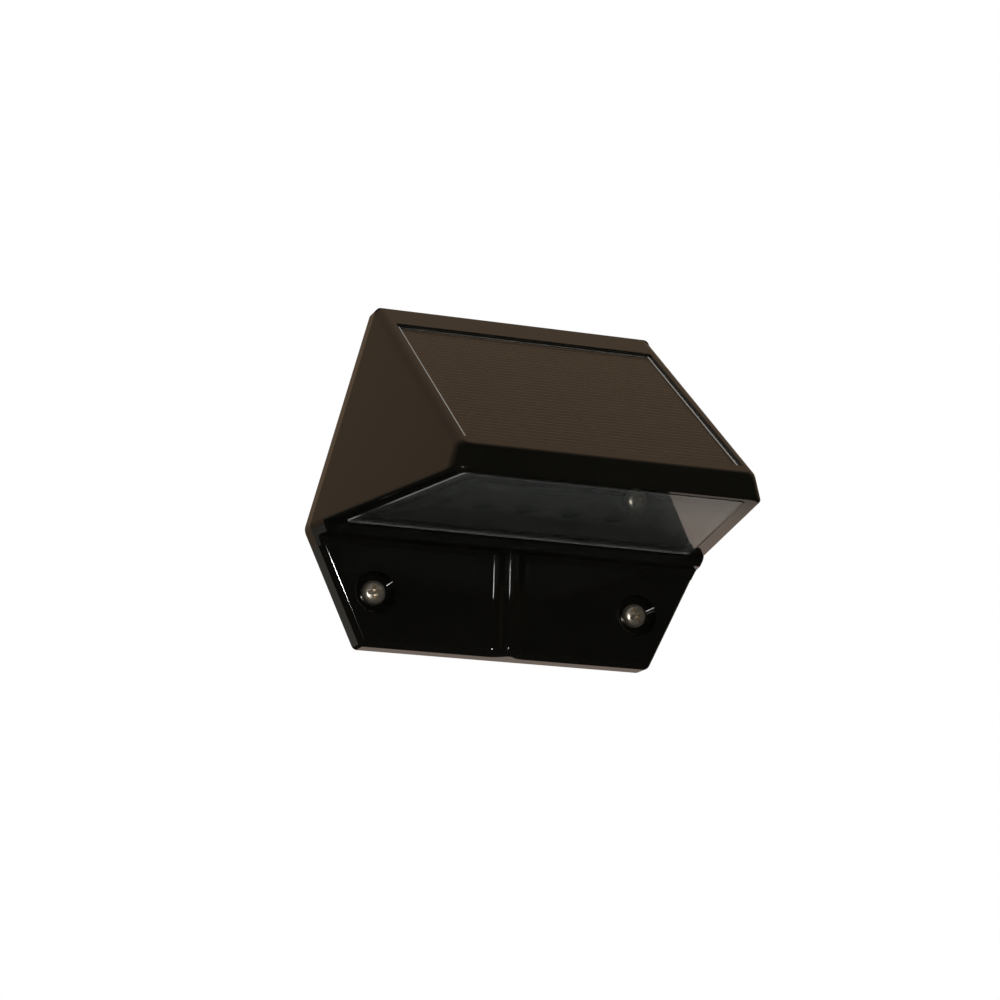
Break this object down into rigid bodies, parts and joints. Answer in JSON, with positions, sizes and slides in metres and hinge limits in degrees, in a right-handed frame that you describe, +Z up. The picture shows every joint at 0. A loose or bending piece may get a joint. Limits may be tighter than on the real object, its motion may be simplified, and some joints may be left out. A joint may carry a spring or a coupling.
{
  "type": "solar fence light",
  "caption": "Wedge-shaped solar fence light: sloping solar panel on top, clear lens underneath, screwed to a fence through a flange below the head.",
  "frame": {"origin": "on the plane of the back that lies against the fence, midway between the two mounting screws", "axes": "+X along the fence, to the right as seen from the front; +Y into the fence, the light faces -Y; +Z up"},
  "size_m": [0.1266, 0.1168, 0.1068],
  "materials": {
    "housing": "dark bronze powder coat",
    "clear": "clear cover, glossy",
    "lens": "clear plastic with a fine diamond prism pattern",
    "cells": "dark solar cells, glossy",
    "board": "glass-fibre circuit board",
    "backing": "black laminate behind the cells",
    "reflector": "grey moulded plastic, satin",
    "silicone": "translucent silicone bead",
    "rubber": "soft black seal",
    "white": "white moulded plastic",
    "black": "black moulded plastic",
    "led": "clear epoxy",
    "screw": "antique bronze plated steel",
    "steel": "plain steel",
    "contact": "nickel-plated spring steel",
    "battery": "plain plastic sleeve",
    "copper": "enamelled copper coil"
  },
  "bodies": {
    "light": {"back_cover": "black", "back_cover_screw_1": "steel", "back_cover_screw_2": "steel", "back_cover_screw_3": "steel", "back_cover_screw_4": "steel", "back_gasket": "rubber", "battery": "battery", "battery_door": "black", "control_board": "board", "control_capacitor": "black", "control_chip": "black", "control_coil": "copper", "control_screw_1": "steel", "control_screw_2": "steel", "door_gasket": "rubber", "door_screw_1": "steel", "door_screw_2": "steel", "housing": "housing", "leaf_contact": "contact", "led_1": "led", "led_2": "led", "led_3": "led", "led_4": "led", "led_board": "board", "led_board_screw_1": "steel", "led_board_screw_2": "steel", "lens": "lens", "lens_bead": "silicone", "mounting_screw_left": "screw", "mounting_screw_right": "screw", "panel_pad": "rubber", "plate_contact": "contact", "reflector": "reflector", "solar_backing": "backing", "solar_cell_1": "cells", "solar_cell_2": "cells", "solar_cell_3": "cells", "solar_cell_4": "cells", "solar_cover": "clear", "switch_body": "steel"},
    "slider": {"switch_slider": "white"}
  },
  "joints": [
    {"name": "switch_slide", "type": "slide", "parent": "light", "child": "slider", "axis": [1, 0, 0], "range_m": [0, 0.003]}
  ]
}
